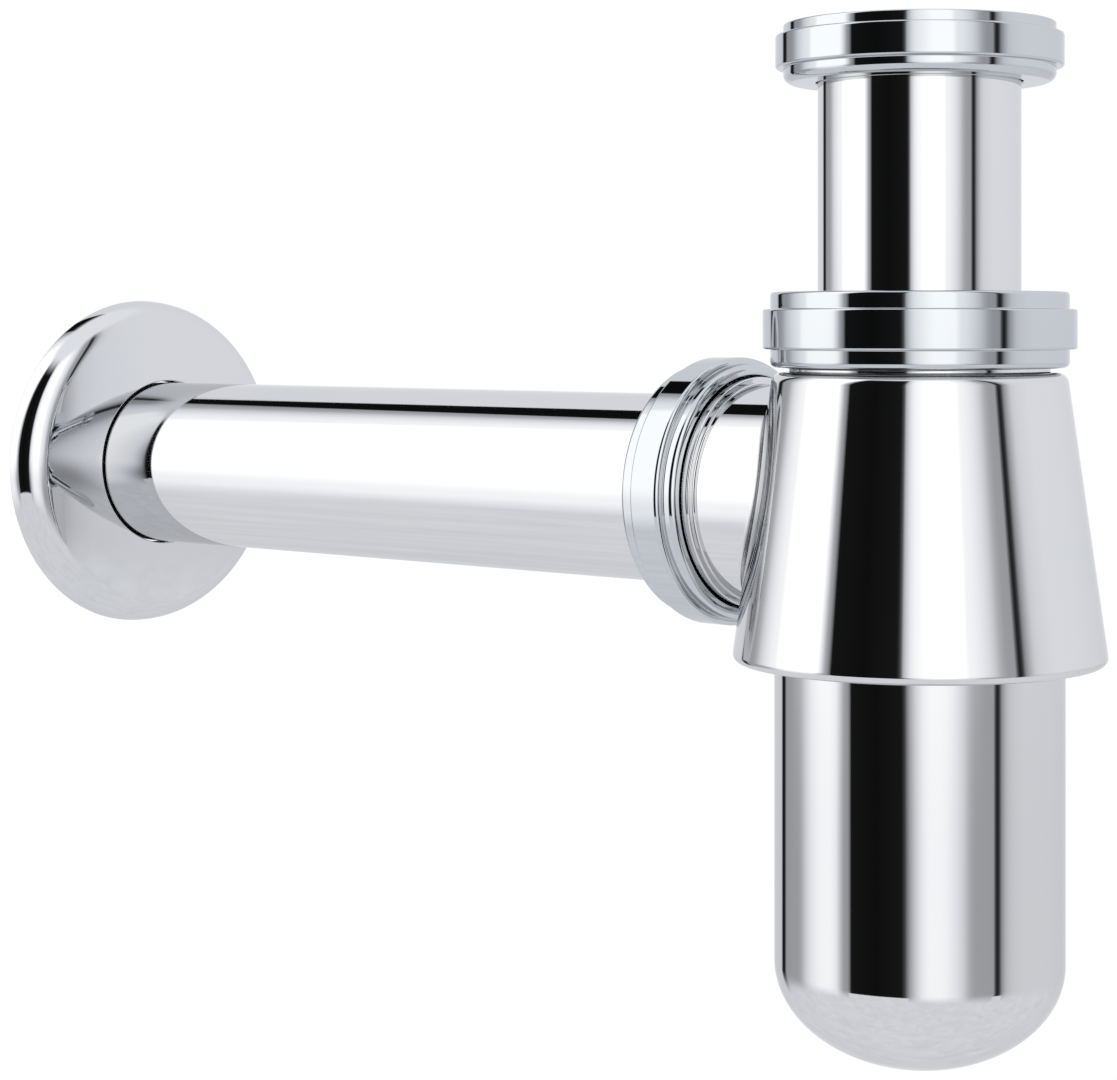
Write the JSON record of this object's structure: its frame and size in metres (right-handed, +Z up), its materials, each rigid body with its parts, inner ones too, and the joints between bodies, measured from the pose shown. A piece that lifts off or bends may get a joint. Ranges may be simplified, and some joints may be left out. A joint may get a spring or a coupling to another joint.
{
  "type": "bottle trap",
  "caption": "Chromed bottle trap for a wash basin: upright inlet with union nut, cone body, screw-off cup and a straight wall tube with a sliding rosette.",
  "frame": {"origin": "on the inlet axis, in the plane of the union nut's top face, where the trap hangs on the basin waste", "axes": "+Z up along the inlet axis, -X along the wall tube towards the wall, +Y completes the right-handed frame"},
  "size_m": [0.2404, 0.0652, 0.1639],
  "materials": {
    "union_nut_chrome": "polished chrome plate on brass",
    "slip_ring_plastic": "natural white plastic, satin",
    "inlet_tube_chrome": "polished chrome plate on brass",
    "gasket_rubber": "matt black rubber",
    "slip_nut_chrome": "polished chrome plate on brass",
    "thrust_washer_plastic": "natural white plastic, satin",
    "wedge_seal_rubber": "matt black rubber",
    "dip_tube_plastic": "natural white plastic, satin",
    "o_ring_rubber": "matt black rubber",
    "body_chrome": "polished chrome plate on brass",
    "cup_chrome": "polished chrome plate on brass",
    "cup_seal_rubber": "matt black rubber",
    "outlet_nut_chrome": "polished chrome plate on brass",
    "wall_tube_chrome": "polished chrome plate on brass",
    "grip_ring_rubber": "matt black rubber",
    "rosette_chrome": "polished chrome plate on brass"
  },
  "bodies": {
    "trap_body": {"trap_body": "body_chrome", "dip_tube": "dip_tube_plastic", "dip_tube_o_ring": "o_ring_rubber"},
    "inlet_seal": {"inlet_wedge_seal": "wedge_seal_rubber"},
    "inlet_tube": {"inlet_tube": "inlet_tube_chrome", "inlet_flat_gasket": "gasket_rubber"},
    "union_slip_ring": {"inlet_slip_ring": "slip_ring_plastic"},
    "union_nut": {"inlet_union_nut": "union_nut_chrome"},
    "slip_nut_washer": {"inlet_thrust_washer": "thrust_washer_plastic"},
    "slip_nut": {"slip_nut": "slip_nut_chrome"},
    "cup_seal": {"cup_seal": "cup_seal_rubber"},
    "cup": {"cup": "cup_chrome"},
    "outlet_seal": {"outlet_wedge_seal": "wedge_seal_rubber"},
    "wall_tube": {"wall_tube": "wall_tube_chrome"},
    "outlet_nut_washer": {"outlet_thrust_washer": "thrust_washer_plastic"},
    "outlet_nut": {"outlet_nut": "outlet_nut_chrome"},
    "grip_ring": {"rosette_grip_ring": "grip_ring_rubber"},
    "rosette": {"wall_rosette": "rosette_chrome"}
  },
  "joints": [
    {"name": "inlet_swivel", "type": "hinge", "parent": "trap_body", "child": "inlet_seal", "pos_m": [0, 0, -0.048], "axis": [0, 0, 1], "continuous": true},
    {"name": "inlet_height", "type": "slide", "parent": "inlet_seal", "child": "inlet_tube", "axis": [0, 0, -1], "range_m": [-0.03, 0.031]},
    {"name": "union_nut_slide", "type": "slide", "parent": "inlet_tube", "child": "union_slip_ring", "axis": [0, 0, 1], "range_m": [-0.0322, 0]},
    {"name": "union_nut_turn", "type": "hinge", "parent": "union_slip_ring", "child": "union_nut", "pos_m": [0, 0, -0.0043], "axis": [0, 0, 1], "continuous": true},
    {"name": "slip_nut_travel", "type": "slide", "parent": "trap_body", "child": "slip_nut_washer", "axis": [0, 0, -1], "range_m": [-0.00577, 0]},
    {"name": "slip_nut_turn", "type": "hinge", "parent": "slip_nut_washer", "child": "slip_nut", "pos_m": [0, 0, -0.0479], "axis": [0, 0, -1], "range_deg": [-901, 0]},
    {"name": "cup_travel", "type": "slide", "parent": "trap_body", "child": "cup_seal", "axis": [0, 0, 1], "range_m": [-0.00693, 0]},
    {"name": "cup_turn", "type": "hinge", "parent": "cup_seal", "child": "cup", "pos_m": [0, 0, -0.096], "axis": [0, 0, 1], "range_deg": [-1081, 0]},
    {"name": "outlet_swivel", "type": "hinge", "parent": "trap_body", "child": "outlet_seal", "pos_m": [-0.0385, 0, -0.0751], "axis": [1, 0, 0], "continuous": true},
    {"name": "outlet_reach", "type": "slide", "parent": "outlet_seal", "child": "wall_tube", "axis": [-1, 0, 0], "range_m": [-0.002, 0.004]},
    {"name": "rosette_slide", "type": "slide", "parent": "wall_tube", "child": "grip_ring", "axis": [1, 0, 0], "range_m": [-0.012, 0.13]},
    {"name": "rosette_turn", "type": "hinge", "parent": "grip_ring", "child": "rosette", "pos_m": [-0.186, 0, -0.0751], "axis": [1, 0, 0], "continuous": true},
    {"name": "outlet_nut_travel", "type": "slide", "parent": "trap_body", "child": "outlet_nut_washer", "axis": [1, 0, 0], "range_m": [-0.00577, 0]},
    {"name": "outlet_nut_turn", "type": "hinge", "parent": "outlet_nut_washer", "child": "outlet_nut", "pos_m": [-0.0386, 0, -0.0751], "axis": [1, 0, 0], "range_deg": [-901, 0]}
  ],
  "couplings": [
    {"joint": "slip_nut_turn", "follows": "slip_nut_travel", "rad_per_m": 2721.2},
    {"joint": "cup_turn", "follows": "cup_travel", "rad_per_m": 2721.2},
    {"joint": "outlet_nut_turn", "follows": "outlet_nut_travel", "rad_per_m": 2721.2}
  ]
}
